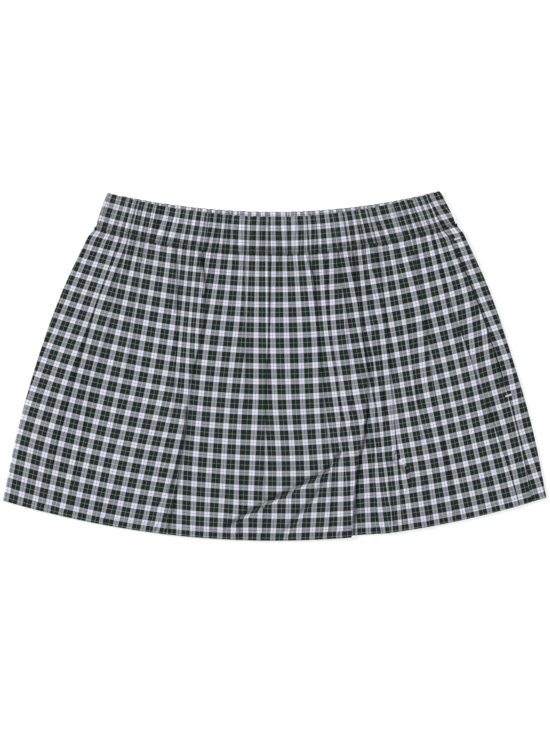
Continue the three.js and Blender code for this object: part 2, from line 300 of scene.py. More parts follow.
def yarn_colour(shade, place, repeat, phase):
    """Colour of the yarns across one repeat of the check, from a place in millimetres."""
    from_white = shade.math("PINGPONG", place - phase, repeat / 2)
    half = repeat / 2
    stops = [
        (0.0, LILAC_YARN),
        (0.38 / half, WHITE_YARN),
        (2.95 / half, NAVY_YARN),
        (4.4 / half, GREEN_YARN),
        (1 - 0.27 / half, LIGHT_GREEN_YARN),
    ]
    settings = {"stops": stops, "interpolation": "CONSTANT"}
    return shade.node("ShaderNodeValToRGB", settings, {"Fac": from_white / half})


def slubs(shade, x, y, long_x, long_y, seed):
    """Uneven yarn thickness, as streaks of the given size in millimetres."""
    spread = shade.node("ShaderNodeCombineXYZ", {}, {"X": x / long_x, "Y": y / long_y, "Z": seed})
    return shade.node(
        "ShaderNodeTexNoise", {}, {"Vector": spread, "Scale": 1.0, "Detail": 2.0, "Roughness": 0.6}
    )


def thin_crease(x, y, line, rise, width):
    """Height of one narrow crease that follows a line of places in millimetres."""
    nearest = None
    for (x0, y0), (x1, y1) in zip(line[:-1], line[1:]):
        length = math.hypot(x1 - x0, y1 - y0)
        dx, dy = (x1 - x0) / length, (y1 - y0) / length
        run = (x - x0) * dx + (y - y0) * dy
        held = x.math("MINIMUM", x.math("MAXIMUM", run, 0.0), length)
        away_x = x - x0 - held * dx
        away_y = y - y0 - held * dy
        squared = away_x * away_x + away_y * away_y
        nearest = squared if nearest is None else x.math("MINIMUM", nearest, squared)
    return x.math("EXPONENT", nearest * (-1.0 / width**2)) * rise


def check_material(name, creases):
    """The checked cotton, with the thin creases of one piece as a bump and as light and shade
    painted into its colour.
    """
    material, tree, surface = new_material(name)
    across_mm, down_mm = cloth_places(tree)
    x_mm, y_mm = in_millimetres(tree, tree.nodes.new("ShaderNodeTexCoord"), "Object")
    sheet = across_mm
    warp = yarn_colour(sheet, across_mm, WARP_REPEAT, WARP_PHASE)
    weft = yarn_colour(sheet, down_mm, WEFT_REPEAT, WEFT_PHASE)
    mean = mixed(sheet, 0.5, warp, weft)
    crossed = mixed(sheet, 1.0, warp, weft, "MULTIPLY")
    woven = mixed(sheet, CROSSED_SHARE, mean, crossed)
    warp_slubs = slubs(sheet, across_mm, down_mm, 0.9, 14.0, 3.0)
    weft_slubs = slubs(sheet, across_mm, down_mm, 14.0, 0.9, 8.0)
    washed = slubs(sheet, across_mm, down_mm, 45.0, 45.0, 5.0)
    near_band = sheet.math("MAXIMUM", 1.0 - down_mm / 85.0, 0.0)
    near_band = sheet.math("MINIMUM", near_band * near_band, 1.25)
    gathers = slubs(sheet, across_mm, down_mm, 3.4, 42.0, 9.0) - 0.5
    near_stitches = sheet.math("COMPARE", down_mm, -3.4, 3.6)
    tone = BASE_TONE + SLUB_TONE * warp_slubs + SLUB_TONE * weft_slubs + WASHED_TONE * washed
    # Painted light and shade: the colour lightens and darkens with the small gathers under the band
    # Painted shade: the colour darkens over the puckers along the stitching
    tone = tone * (1.0 - PUCKER_PAINTED_SHADE * near_stitches) * (1.0 + gathers * near_band * GATHER_PAINTED_SHADING)
    # Painted light and shade: the thin creases lighten the colour on their ridges and darken it in
    # their grooves
    sharp = sheet * 0.0
    for crease in creases:
        sharp = sharp + thin_crease(x_mm, y_mm, crease["line"], crease["rise"], crease["width"])
    not_too_light = sheet.math("MINIMUM", sharp, SHARP_PAINTED_LIGHT_LIMIT)
    tone = tone * (1.0 + SHARP_PAINTED_SHADING * sheet.math("MAXIMUM", not_too_light, SHARP_PAINTED_SHADE_LIMIT))
    add_colour(sheet, surface, woven, tone)
    warp_crown = sheet.math("SINE", across_mm * (math.pi / YARN))
    weft_crown = sheet.math("SINE", down_mm * (math.pi / YARN))
    weave = warp_crown * weft_crown
    crumple = slubs(sheet, across_mm, down_mm, 9.0, 16.0, 1.0)
    pucker = slubs(sheet, across_mm, down_mm, 1.5, 4.5, 6.0) * near_stitches
    height = weave * WEAVE_BUMP + crumple * CRUMPLE_BUMP + pucker * PUCKER_BUMP
    height = height + gathers * near_band * GATHER_BUMP
    height = height + warp_slubs * SLUB_BUMP + weft_slubs * SLUB_BUMP + sharp
    add_bump(sheet, surface, BUMP_STRENGTH, height)
    gloss = {"Roughness": 0.88, "Specular IOR Level": 0.25}
    set_inputs(surface, {**gloss, "Sheen Weight": 0.12, "Sheen Roughness": 0.5})
    return material


checked_cotton = check_material("checked cotton", [])

# Front of the skirt
# One rectangle of the check, gathered into the band. Its right side seam is rolled round to the
# front, and its cloth lies in soft knife folds whose left sides are on top.
WALL = 0.34
HEM_WALL = 0.85
HEM_DEPTH = 9.0
HEM_STITCH = 8.4
BACK_TOP_HEIGHT = 1.7
FRONT_TOP_HEIGHT = 5.6
FRONT_LOW_HEIGHT = 3.4
DRAWN_IN = 3.1
OVER_POCKET = 1.1
SLIT = 0.45
# The edges of the folds were read off the photograph. The hidden and cloth columns,
# FRONT_LEFT_CLOTH, FRONT_SEAM_CLOTH and ROW_DRIFT were not: another script fitted them to it.
FRONT_FOLDS = table(
    ("top", "radius", "edge", "hidden", "cloth"),
    ("left", 0.3, [-170, -196, -219.5, -239, -253],
     [3.3, 6.9, 1.4, 1.0, 0.2], [39.3, 39.4, 43.3, 45.4, 48.1]),
    ("left", 0.3, [-161, -179, -198, -214, -228],
     [11.1, 2.4, 0.0, 0.7, 0.2], [55.3, 64.8, 69.6, 71.2, 74.2]),
    ("left", 0.4, [-143, -155, -166, -176, -186],
     [2.5, 1.7, 0.0, 0.0, 0.0], [92.0, 95.6, 101.3, 110.0, 117.9]),
    ("left", 0.45, [-106, -107.7, -111.2, -121, -130],
     [0.0, 0.9, 1.3, 0.0, 0.0], [140.1, 148.3, 157.4, 166.7, 175.8]),
    ("left", 0.6, [-80, -79.5, -95, -103.5, -119.3],
     [11.9, 13.8, 28.4, 22.0, 5.7], [184.7, 200.0, 178.7, 183.8, 186.4]),
    ("left", 0.35, [-33, -33, -34, -37, -40],
     [7.2, 6.5, 0.0, 0.0, 1.3], [257.3, 262.5, 270.8, 272.9, 274.3]),
    ("left", 0.35, [-7.4, -7.4, -10.5, -12, -13],
     [6.3, 10.2, 9.5, 1.4, 0.1], [300.6, 299.4, 294.6, 297.2, 302.8]),
    ("left", 0.5, [38, 46.5, 53, 60, 61],
     [10.6, 14.7, 9.3, 2.0, 0.0], [366.4, 366.0, 369.1, 373.3, 382.5]),
    ("left", 0.35, [55, 60.5, 71, 71, 71],
     [0.0, 4.6, 6.0, 0.0, 0.0], [399.3, 399.3, 398.4, 388.7, 391.9]),
    ("left", 0.35, [69, 77, 84, 79, 77],
     [10.0, 1.3, 1.8, 0.0, 0.0], [418.1, 421.5, 417.0, 400.0, 397.2]),
    ("left", 0.85, [82, 93, 101.5, 90, 84],
     [8.4, 18.4, 18.0, 15.3, 15.1], [446.2, 441.4, 434.1, 414.0, 404.2]),
    ("right", 0.6, [100, 105, 110, 110, 113],
     [2.6, 1.7, 6.5, 3.2, 0.0], [480.6, 474.3, 461.0, 449.6, 449.0]),
    ("left", 0.5, [106, 112, 118, 123, 127.5],
     [0.0, 0.0, 1.3, 0.3, 6.1], [492.0, 482.0, 477.6, 473.4, 462.8]),
    ("left", 0.5, [111, 121, 127.5, 134, 140],
     [12.4, 18.0, 11.0, 6.8, 1.3], [498.5, 492.4, 489.1, 487.5, 488.3]),
    ("left", 0.4, [134, 143, 152.5, 163, 172],
     [0.0, 0.0, 3.4, 0.0, 0.7], [542.0, 534.6, 532.7, 528.3, 524.6]),
    ("left", 0.4, [150, 163, 173, 186, 200],
     [7.3, 14.2, 2.9, 1.6, 0.0], [561.8, 554.4, 556.0, 554.1, 554.0]),
    ("left", 0.55, [172, 192.5, 218.5, 244.6, 268.5],
     [2.7, 3.2, 9.6, 6.2, 8.1], [599.6, 602.4, 613.6, 624.1, 629.1]),
)
FRONT_LEFT_CLOTH = [-3.1, -6.5, -2.5, 2.2, 1.9]
FRONT_SEAM_CLOTH = [626.8, 634.6, 650.3, 654.2, 652.2]
# How far the rows of the check drift up the cloth, at five levels and five places across
ROW_DRIFT = [
    [0.0, 0.0, 0.0, 0.0, 0.0],
    [0.1, -0.5, -0.6, -0.9, 0.1],
    [-0.2, -1.1, -1.7, -1.1, 0.4],
    [1.3, -0.9, -1.8, -0.6, 0.3],
    [3.2, 0.1, 1.1, 0.2, -1.1],
]
# How many steps each strip of cloth between two folds has, and each fold's arc
FRONT_STEPS = [10, 7, 8, 17, 15, 21, 15, 23, 9, 9, 9, 7, 7, 9, 12, 12, 14, 12]
FOLD_ARC_STEPS = 4
# The fold behind which the hem stands up, and how far
STEP_FOLD = 10
STEP_HEIGHT = 1.7
RAMP = 11.0
SHELF = 2.5

# Small gathers under the band: where each one starts, how deep, how far down it runs
chance = np.random.default_rng(11)
GATHERS = [
    {"at": fold["edge"][0] + 0.9, "deep": 0.8, "reach": 0.05, "wide": 1.6} for fold in FRONT_FOLDS
]
for place in np.arange(-193.0, 198.0, 7.6):
    at = place + chance.uniform(-2.4, 2.4)
    deep = chance.uniform(0.5, 1.25)
    reach = chance.choice([0.045, 0.09, 0.16, 0.32], p=[0.25, 0.3, 0.25, 0.2])
    wide = chance.uniform(1.3, 2.4)
    if min(abs(at - fold["edge"][0]) for fold in FRONT_FOLDS) > 4.2:
        GATHERS.append({"at": at, "deep": deep, "reach": reach, "wide": wide})

# Creases and soft ridges that lie across the folds. A line runs down the cloth, rise is its
# height or depth, and west and east are its widths on each side.
FRONT_CREASES = table(
    ("rise", "west", "east", "line"),
    (1.9, 1.5, 16,
     [(76, -92), (73.4, -98), (57, -117), (39, -128), (24, -135), (1, -147), (-26, -161),
      (-55, -178)]),
    (-2.4, 6.5, 1.1,
     [(72, -95), (55, -116), (37.5, -126.5), (22.5, -133.5), (-0.5, -145.5), (-27.5, -159.5)]),
    (1.2, 1.4, 10, [(62, -113), (45.4, -145.2), (33.3, -158), (16.8, -177.1), (8, -195)]),
    (-1.3, 4.5, 1.0, [(59, -116), (44, -143), (31.5, -156.5), (15, -176), (6, -194)]),
    (1.9, 4.5, 0.9, [(57.5, -78), (60.5, -92), (64.1, -108)]),
    (1.7, 3.0, 1.0, [(66.5, -79), (73, -98)]),
    (2.4, 10, 1.8, [(125.5, -84), (129, -99), (140, -104.5), (146.6, -113.3), (147.3, -138)]),
    (-1.3, 2.0, 3, [(130.3, -102.6), (147, -114.2)]),
    (1.6, 8, 1.8, [(138.8, -130), (129, -159.5), (128.5, -171.6), (126.1, -194)]),
    (1.4, 4, 1.4, [(73, 84), (77.5, 38)]),
    (1.5, 6, 1.5, [(-148, 156), (-161, 104)]),
    (1.2, 7, 2, [(-176.5, 80), (-193.5, 14)]),
    (1.8, 8, 1.8, [(151.6, 2), (153.2, -29.7), (162, -72)]),
    (1.2, 3, 1.4, [(126, -36), (127.6, -60)]),
    (1.0, 4, 1.5, [(-9, 120), (-7.6, 80), (-7.4, 30)]),
    (1.2, 5, 1.6, [(-82, 128), (-79.6, 90), (-83, 40)]),
    (1.0, 22, 12, [(-215, 20), (-236, -60), (-250, -120)]),
    (0.8, 18, 18, [(-160, 10), (-172, -70), (-182, -150)]),
    (0.9, 13, 15, [(-70, 30), (-76, -60), (-84, -150)]),
    (0.9, 16, 16, [(14, 60), (17, -50), (20, -110)]),
    (1.2, 12, 7, [(180, 70), (206, -40), (226, -140)]),
    (0.9, 9, 5, [(232, -10), (252, -80), (262, -130)]),
    (-0.8, 6, 7, [(158, 8), (172, -8), (190, -14), (214, -20)]),
    (-0.7, 6, 7, [(-255, -52), (-228, -60), (-196, -58)]),
    (0.7, 8, 8, [(-205, -128), (-170, -136), (-135, -142)]),
    (-1.3, 5, 7, [(97, 10), (99, -60), (101, -110), (100, -170)]),
)

# The sharp lines along some creases, too narrow for the mesh, so they are only shading: a bump, and
# light and shade painted into the colour. Lines in millimetres, and how high and wide each looks
FRONT_SHARP_CREASES = table(
    ("rise", "width", "line"),
    (-4.2, 2.4, [(72, -95), (55, -116), (22.5, -133.5), (-27.5, -159.5), (-54, -176)]),
    (-2.8, 2.3, [(57, -119), (44, -143), (31.5, -156.5), (12, -180)]),
    (3.2, 1.5, [(57.5, -78), (60.5, -92), (64.5, -110)]),
    (-2.0, 1.5, [(60.5, -79), (63.5, -92), (67, -106)]),
    (2.8, 1.5, [(66.5, -79), (74, -97)]),
    (3.0, 1.6, [(127, -84), (133, -99), (147, -113.3), (147, -124)]),
    (-3.2, 1.9, [(129, -104), (145, -117)]),
    (2.2, 1.7, [(145, -128), (141, -142)]),
    (3.2, 1.5, [(123, -137), (127, -158), (128.5, -171.6), (125.5, -190)]),
    (-2.4, 1.7, [(126, -137), (130, -158), (131.5, -171.6)]),
    (3.0, 1.5, [(73, 84), (75.5, 60), (77.5, 38)]),
    (-2.6, 1.7, [(76, 84), (78.5, 60), (80.5, 38)]),
    (2.8, 1.5, [(-78.5, 84), (-79, 58), (-80, 34)]),
    (-2.4, 1.7, [(-75.5, 84), (-76, 58), (-77, 34)]),
    (-2.8, 1.8, [(-146, 156), (-153, 130), (-161, 104)]),
    (2.2, 1.4, [(-9, 112), (-8.5, 80), (-9, 48)]),
    (2.4, 1.6, [(151.6, 2), (153.2, -29.7)]),
    (2.6, 1.4, [(100.5, -45), (96, -75), (89.2, -111), (85.2, -150), (83.4, -191)]),
    (-4.0, 2.0, [(102.6, -45), (98.2, -75), (91.4, -111), (87.4, -150), (85.6, -191)]),
    (-4.2, 1.8, [(-97.3, -46), (-97.8, -68), (-101, -81), (-107.2, -111), (-115.8, -139)]),
    (2.8, 1.4, [(-117.5, -150), (-119.6, -169), (-119.8, -191)]),
    (3.0, 1.3, [(33.5, 120), (37.5, 106), (42.3, 88)]),
    (-3.2, 1.5, [(36.2, 119), (40.2, 104), (45, 80), (47.5, 58)]),
    (-3.2, 1.6, [(86.5, 121), (91, 98), (94.5, 75), (98, 40)]),
    (-3.0, 1.4, [(115.5, 128), (118, 102), (120, 88)]),
    (3.0, 1.3, [(162.5, 146), (170.5, 137), (172.7, 130)]),
    (-2.8, 1.5, [(156, 122), (159.5, 108)]),
    (-3.0, 1.5, [(-81.4, 120), (-78, 103), (-76, 84)]),
    (2.6, 1.3, [(-144, 120), (-149.6, 103)]),
    (-3.0, 1.5, [(-107.8, 127), (-106.7, 94), (-108.9, 59)]),
    (-3.2, 1.5, [(-4.4, 118), (-5.2, 80), (-5.5, 46)]),
    (-2.6, 1.3, [(6.6, 120), (3.3, 103)]),
    (-2.6, 1.4, [(-165, 125), (-171, 112), (-180, 86)]),
    (-3.6, 1.5, [(-201.6, 48), (-209, 22), (-217, -2)]),
    (2.6, 1.3, [(-178, 75), (-187, 40)]),
    (2.6, 1.3, [(-145, 117), (-149, 90), (-154, 68)]),
)


def distance_to(line, x, y):
    """Distances from a line, which side of it each point is on, and how far along it from 0 to 1."""
    nearest = np.full_like(x, 1e9)
    side = np.zeros_like(x)
    place = np.zeros_like(x)
    lengths = np.hypot(*(line[1:] - line[:-1]).T)
    passed = 0.0
    for (x0, y0), (x1, y1), length in zip(line[:-1], line[1:], lengths):
        dx, dy = (x1 - x0) / length, (y1 - y0) / length
        run = (x - x0) * dx + (y - y0) * dy
        held = np.clip(run, 0, length)
        distance = np.hypot(x - x0 - held * dx, y - y0 - held * dy)
        closer = distance < nearest
        nearest = np.where(closer, distance, nearest)
        side = np.where(closer, -(x - x0) * dy + (y - y0) * dx, side)
        place = np.where(closer, (passed + held) / lengths.sum(), place)
        passed += length
    return nearest, side, place


def crease_height(creases, x, y):
    """Height of all creases at points of the cloth."""
    total = np.zeros_like(x)
    for crease in creases:
        nearest, side, place = distance_to(np.array(crease["line"], dtype=float), x, y)
        width = np.where(side > 0, crease["east"], crease["west"])
        ends = smooth(place, -0.02, 0.2) * (1 - smooth(place, 0.75, 1.02))
        total += crease["rise"] * np.exp(-((nearest / width) ** 2)) * ends
    return total


# Where the check slips at a crease: how much cloth it hides across and down, and how far off
# the slip is felt
FRONT_SLIPS = table(
    ("across", "down", "reach", "line"),
    (2.5, 1.6, 30, [(76, -92), (57, -117), (24, -135), (-26, -161), (-55, -178)]),
    (1.5, 0.5, 16, [(62, -113), (45.4, -145.2), (33.3, -158), (8, -195)]),
    (-1.5, 0.6, 14, [(125.5, -84), (133, -99), (147, -113.3), (147, -138)]),
)


def crease_slip(x, y):
    """How far the check slips across and down at points of the front."""
    across, down = np.zeros_like(x), np.zeros_like(x)
    for slip in FRONT_SLIPS:
        line = np.array(slip["line"], dtype=float)
        nearest, side, place = distance_to(line, x, y)
        ends = smooth(place, 0.0, 0.25) * (1 - smooth(place, 0.8, 1.0))
        felt = np.tanh(side / 1.2) * np.exp(-nearest / slip["reach"]) * ends
        across += slip["across"] * felt
        down += slip["down"] * felt
    return across, down


def pouch_depth(level):
    return along(POUCH_DEPTHS, (level - 0.05) / 0.81)


def over_pocket(row, x):
    """1 where the cloth lies over the pocket bag, falling to 0 round it."""
    level = row["level"]
    inside = 1 - smooth(row["right_x"] - (pouch_depth(level) + WRAP) - x, -2.0, 20.0)
    below = 1 - smooth(level, 0.88, 0.96)
    return inside * below * (1 - smooth(x, row["right_x"] - WRAP - 2, row["right_x"] - 4))


def gather_height(row, x, seed_shift):
    """The small gathers that the band's stitching makes, ending one by one down the cloth."""
    place = strand(row, x)
    spread = 1 + 2.2 * row["level"] / 0.14
    total = np.zeros_like(x)
    for gather in GATHERS:
        fade = 1 - smooth(row["level"], 0.15 * gather["reach"], gather["reach"])
        if fade > 0:
            away = (place - gather["at"] - seed_shift) / (gather["wide"] * min(spread, 3.0))
            total -= gather["deep"] * fade * np.exp(-(away**2))
    return total


def soft_swell(row, x, turn):
    """Slow rise and fall of cloth that was laid down by hand."""
    place = strand(row, x)
    level = row["level"]
    first = np.sin(place * 0.096 + 2.0 * level + turn)
    second = np.sin(place * 0.052 - 1.3 * level + 2.1 * turn)
    third = np.sin(place * 0.171 + 3.4 * level * (1 + 0.002 * place) + 0.7 * turn)
    return (0.34 * first + 0.4 * second + 0.2 * third) * smooth(level, 0.02, 0.3)


def front_height(row, x):
    level = row["level"]
    high = 1 - smooth(level, 0.0, 0.4)
    base = FRONT_LOW_HEIGHT + (FRONT_TOP_HEIGHT - FRONT_LOW_HEIGHT) * high
    y = on_row(row, x, x * 0, x * 0, 0.0)[:, 1]
    shape = gather_height(row, x, 0.0) + soft_swell(row, x, 0.4)
    shape = shape + crease_height(FRONT_CREASES, x, y)
    return base + calm(row, x) * shape + over_pocket(row, x) * OVER_POCKET


def back_height(row, x):
    swell = 0.6 * np.maximum(0, soft_swell(row, x, 2.6)) * (1 - smooth(row["level"], 0.3, 0.75))
    y = on_row(row, x, x * 0, x * 0, 0.0)[:, 1]
    lift = np.maximum(0, crease_height(BACK_CREASES, x, y))
    puckers = -0.8 * gather_height(row, x, 3.7)
    free = calm(row, x) * (1 - over_pocket(row, x))
    return row["low"] + free * (swell + lift + np.maximum(puckers, -0.6))


def fold_shape(hidden, full_radius):
    """A fold seen end on: the cloth turns down and back under itself, then on again. A shallow
    one is an open ripple of the same length of cloth."""
    arc = math.pi * full_radius
    low, high = 0.02, math.pi
    if hidden >= 2 * arc:
        low = high
    while high - low > 1e-6:
        middle = (low + high) / 2
        if 2 * arc * (1 - math.sin(middle) / middle) < hidden:
            low = middle
        else:
            high = middle
    radius = arc / high
    run = max(0.3, (hidden - 2 * arc) / 2)
    turned = high * np.arange(FOLD_ARC_STEPS + 1) / FOLD_ARC_STEPS
    x = radius * np.sin(turned)
    z = radius * (np.cos(turned) - 1)
    reach = 2 * radius * math.sin(high) + run * math.cos(high)
    drop = -(2 * radius * (math.cos(high) - 1) - run * math.sin(high))
    shape_x = np.concatenate([x, (reach - x)[::-1]])
    shape_z = np.concatenate([z, (-drop - z)[::-1]])
    shape_turn = np.concatenate([-turned, -turned[::-1]])
    return shape_x, shape_z, shape_turn, reach, drop


def folds_at(folds, level, wall):
    """The folds of one row, placed so that each visible edge lies where it should."""
    placed = []
    for fold in folds:
        taken = max(0.0, along(fold["hidden"], level))
        fullness = min(1.0, taken / 12)
        radius = max((wall + 0.1) / 2, 0.24 + (fold["radius"] - 0.24) * fullness)
        x, z, turn, reach, drop = fold_shape(taken, radius)
        left_on_top = fold["top"] == "left"
        edge = along(fold["edge"], level)
        start = edge - (x.max() if left_on_top else x.min())
        cloth = along(fold.get("cloth", [0.0] * 5), level)
        placed.append(
            {
                "x": x,
                "z": z,
                "turn": turn,
                "drop": drop,
                "start": start,
                "end": start + reach,
                "left_on_top": left_on_top,
                "shelf": max(0.0, -reach) + SHELF,
                "edge": edge,
                "cloth_left": cloth,
                "cloth_right": cloth + taken,
            }
        )
    return placed


def lift_before(row, folds, count, x):
    """How far the upper layers of the folds to the right of a strip, or to its left, lift it."""
    lift = np.zeros_like(x)
    for i, fold in enumerate(folds):
        if fold["left_on_top"] and i >= count:
            rest = fold["start"] - fold["shelf"]
            ramp = min(RAMP, rest - row["left_x"] - 4)
            lift += fold["drop"] * smooth(x, rest - ramp, rest)
        if not fold["left_on_top"] and i < count:
            rest = fold["end"] + fold["shelf"]
            lift += fold["drop"] * (1 - smooth(x, rest, rest + RAMP))
    return lift


def strip(from_x, to_x, steps, grid, height):
    """Cloth lying on a height from one place to another, without its last point."""
    x = np.linspace(from_x, to_x, steps + 1)[:-1]
    return x, np.interp(x, grid, height), np.arctan(np.interp(x, grid, np.gradient(height, grid)))


def fold_points(fold, grid, height):
    """The points of one fold, standing on the height of the cloth under it."""
    up = 1.0 if fold["left_on_top"] else -1.0
    base = fold["drop"] if fold["left_on_top"] else 0.0
    x = fold["start"] + fold["x"]
    z = np.interp(x, grid, height) + base + up * fold["z"]
    turn = up * fold["turn"]
    slope = np.interp(x, grid, np.gradient(height, grid))
    return x, z, np.arctan2(np.sin(turn) + slope * np.cos(turn), np.cos(turn))


def pocket_slit(row):
    """How far each side of the side seam stands back from it where the pocket opens."""
    level = row["level"]
    return SLIT * (smooth(level, 0.05, 0.1) * (1 - smooth(level, 0.54, 0.62)))


def rolled_edge(x, z, way):
    """The seam's own turning: the cloth dips down at its edge."""
    turned = np.linspace(0.35, 1.35, 3)
    return x + way * 0.7 * np.sin(turned), z - 0.75 * (1 - np.cos(turned)), -way * turned


def front_path(row, folds):
    """One row of the front, from its left side seam underneath to its right one on top: places
    across, heights, turns, and the cloth across where it shows."""
    grid = np.arange(row["left_x"] - 6, row["right_x"] + 6, 0.25)
    ground = front_height(row, grid)
    low = row["low"]
    high = np.interp(row["left_x"], grid, ground)
    radius = (high - low) / 2
    crease_x = row["left_x"] + radius + row["wall"] / 2
    x = np.linspace(row["left_x"] + WRAP, crease_x, 7)[:-1]
    parts = [(x, x * 0 + low, x * 0 + math.pi, x * np.nan)]
    turn = np.linspace(math.pi, 0.0, 9)
    known = np.where(np.abs(turn - math.pi / 2) < 0.1, row["left_cloth"], np.nan)
    crease_z = low + radius + np.cos(turn) * radius
    parts.append((crease_x - np.sin(turn) * radius, crease_z, turn, known))
    from_x, shown_from, cloth_from = crease_x, row["left_x"], row["left_cloth"]
    seam_x = row["right_x"] - WRAP - 0.9 - pocket_slit(row)
    for i in range(len(folds) + 1):
        last = i == len(folds)
        to_x = seam_x if last else folds[i]["start"]
        shown_to = seam_x if last else folds[i]["edge"]
        cloth_to = row["seam_cloth"] if last else folds[i]["cloth_left"]
        lifted = ground + lift_before(row, folds, i, grid)
        x, z, turn = strip(from_x, to_x, FRONT_STEPS[i], grid, lifted)
        known = np.interp(x, [shown_from, shown_to], [cloth_from, cloth_to])
        known = np.where((x > shown_from) & (x < shown_to), known, np.nan)
        parts.append((x[1:], z[1:], turn[1:], known[1:]))
        if not last:
            fold = folds[i]
            under = ground + lift_before(row, folds, i + 1 if fold["left_on_top"] else i, grid)
            known = np.full(2 * FOLD_ARC_STEPS + 2, np.nan)
            if fold["left_on_top"]:
                known[FOLD_ARC_STEPS // 2] = fold["cloth_left"]
            else:
                known[-1 - FOLD_ARC_STEPS // 2] = fold["cloth_right"]
            parts.append(fold_points(fold, grid, under) + (known,))
            from_x, shown_from, cloth_from = fold["end"], fold["edge"], fold["cloth_right"]
    z_seam = np.interp(seam_x, grid, ground + lift_before(row, folds, len(folds), grid))
    parts.append(([seam_x], [z_seam], [0.0], [row["seam_cloth"]]))
    parts.append(rolled_edge(np.full(3, seam_x), z_seam, 1) + (np.full(3, np.nan),))
    return [np.concatenate([part[i] for part in parts]) for i in range(4)]


def hem_step(known, level):
    """How far the cloth behind the widest fold stands up from the cloth on top, near the hem."""
    fold = FRONT_FOLDS[STEP_FOLD]
    cloth = cloth_across(np.arange(len(known), dtype=float), known)
    from_cloth = along(fold["cloth"], level)
    to_cloth = from_cloth + along(fold["hidden"], level)
    risen = smooth(cloth, from_cloth + 1, to_cloth - 1)
    risen = risen * (1 - smooth(cloth, to_cloth + 4, to_cloth + 48))
    return STEP_HEIGHT * risen * smooth(level, 0.6, 1.0)


# Distances from the hem's edge at which its own rows lie, and all levels down a panel
HEM_ROWS = np.array([HEM_DEPTH + 0.2, HEM_DEPTH - 0.7, HEM_DEPTH - 2, 5, 2.5, 0.9, 0.3, 0])
PANEL_LEVELS = np.concatenate(
    [
        np.linspace(-0.008, 0.12, 24)[:-1],
        np.linspace(0.12, 1 - (HEM_DEPTH + 1) / CUT_LENGTH, 84),
        1 - HEM_ROWS / CUT_LENGTH,
    ]
)


def wall_at(level):
    """The cloth's thickness, with the hem turned up twice and its lower edge rounded."""
    from_edge = (1 - level) * CUT_LENGTH
    turned_up = WALL + (HEM_WALL - WALL) * smooth(from_edge, HEM_DEPTH + 0.3, HEM_DEPTH - 0.8)
    stitched = 0.25 * math.exp(-(((from_edge - HEM_DEPTH + 0.2) / 0.8) ** 2))
    return turned_up * (1 - 0.75 * (1 - smooth(from_edge, -0.2, 1.2))) - stitched * 0.5


def cloth_across(run, known):
    """Cloth across at every point of a row, from the points where it is known."""
    at = np.flatnonzero(~np.isnan(known))
    inside = np.interp(run, run[at], known[at])
    return inside + np.minimum(0, run - run[at[0]]) + np.maximum(0, run - run[at[-1]])


def panel_sheets(path_of, folds, back, left_cloth, seam_cloth, drifts):
    """Both faces of a panel, [row][column], with its cloth coordinates."""
    outer, inner, across, down = [], [], [], []
    for level in PANEL_LEVELS.tolist():
        row = row_at(BODY_ROWS, level, back)
        if level < 0:
            for key in ("left_y", "mid_y", "right_y"):
                row[key] -= level * CUT_LENGTH
        drawn_in = DRAWN_IN * (1 - smooth(level, -0.004, 0.035))
        row["left_x"] += drawn_in
        row["right_x"] -= drawn_in
        half_wall = wall_at(level) / 2
        row["wall"] = wall_at(level)
        row["low"] = half_wall + (BACK_TOP_HEIGHT - half_wall) * (1 - smooth(level, 0.0, 0.16))
        if back:
            from_edge = (1 - level) * CUT_LENGTH
            row["low"] += 0.14 * math.exp(-(((from_edge - HEM_STITCH) / 1.1) ** 2))
        row["left_cloth"] = along(left_cloth, level)
        row["seam_cloth"] = along(seam_cloth, level)
        x, z, turn, known = path_of(row, folds_at(folds, level, row["wall"]))
        faces = [on_row(row, x, z, turn, offset * row["wall"]) for offset in (0.5, -0.5, 0.0)]
        if not back:
            for face in faces:
                face[:, 1] += hem_step(known, level)
        outer.append(faces[0])
        inner.append(faces[1])
        centre_x, centre_y = faces[2][:, 0], faces[2][:, 1]
        run = np.concatenate([[0], np.cumsum(np.linalg.norm(np.diff(faces[2], axis=0), axis=1))])
        slip_across, slip_down = (0.0, 0.0) if back else crease_slip(centre_x, centre_y)
        across.append(cloth_across(run, known) + slip_across)
        share = np.where(centre_x < 0, -centre_x / row["left_x"], centre_x / row["right_x"])
        drift = [along([each[i] for each in drifts], level) for i in range(5)]
        drifted = np.array([along(drift, (value + 1) / 2) for value in share.tolist()])
        down.append(level * CUT_LENGTH + drifted + slip_down)
    return [np.array(sheet) for sheet in (outer, inner, across, down)]


def declare(piece, node):
    """A piece of the body of the skirt that stands for one of its solids."""
    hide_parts(node)
    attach(piece, "root")


front_outer, front_inner, front_across, front_down = panel_sheets(
    front_path, FRONT_FOLDS, False, FRONT_LEFT_CLOTH, FRONT_SEAM_CLOTH, ROW_DRIFT
)
front_cloth = shell_mesh("front_cloth", front_outer, front_inner, front_across, front_down)
front_cloth.data.materials.append(check_material("checked cotton of the front", FRONT_SHARP_CREASES))
declare(front_cloth, "front_panel")

# Back of the skirt
# The same cut as the front, lying flat under it. It rolls round the right edge to the side seam
# on the front, and its own folds face down.
BACK_FOLDS = table(
    ("top", "radius", "edge", "hidden"),
    ("left", 0.22, [-150, -172, -192, -208, -222], [9, 12, 4, 0, 0]),
    ("right", 0.22, [-96, -104, -114, -126, -136], [14, 15, 11, 4, 0]),
    ("left", 0.22, [-42, -48, -52, -56, -60], [10, 9, 2, 0, 0]),
    ("left", 0.22, [16, 18, 22, 24, 26], [12, 16, 18, 14, 9]),
    ("right", 0.22, [62, 72, 82, 90, 96], [13, 12, 6, 0, 0]),
    ("left", 0.22, [108, 124, 138, 150, 162], [10, 15, 13, 10, 6]),
    ("right", 0.22, [152, 174, 194, 208, 222], [9, 6, 0, 0, 0]),
)
BACK_SEAM_CLOTH = [648, 644, 648, 643, 651]
BACK_STEPS = [26, 26, 24, 26, 24, 24, 24, 24]
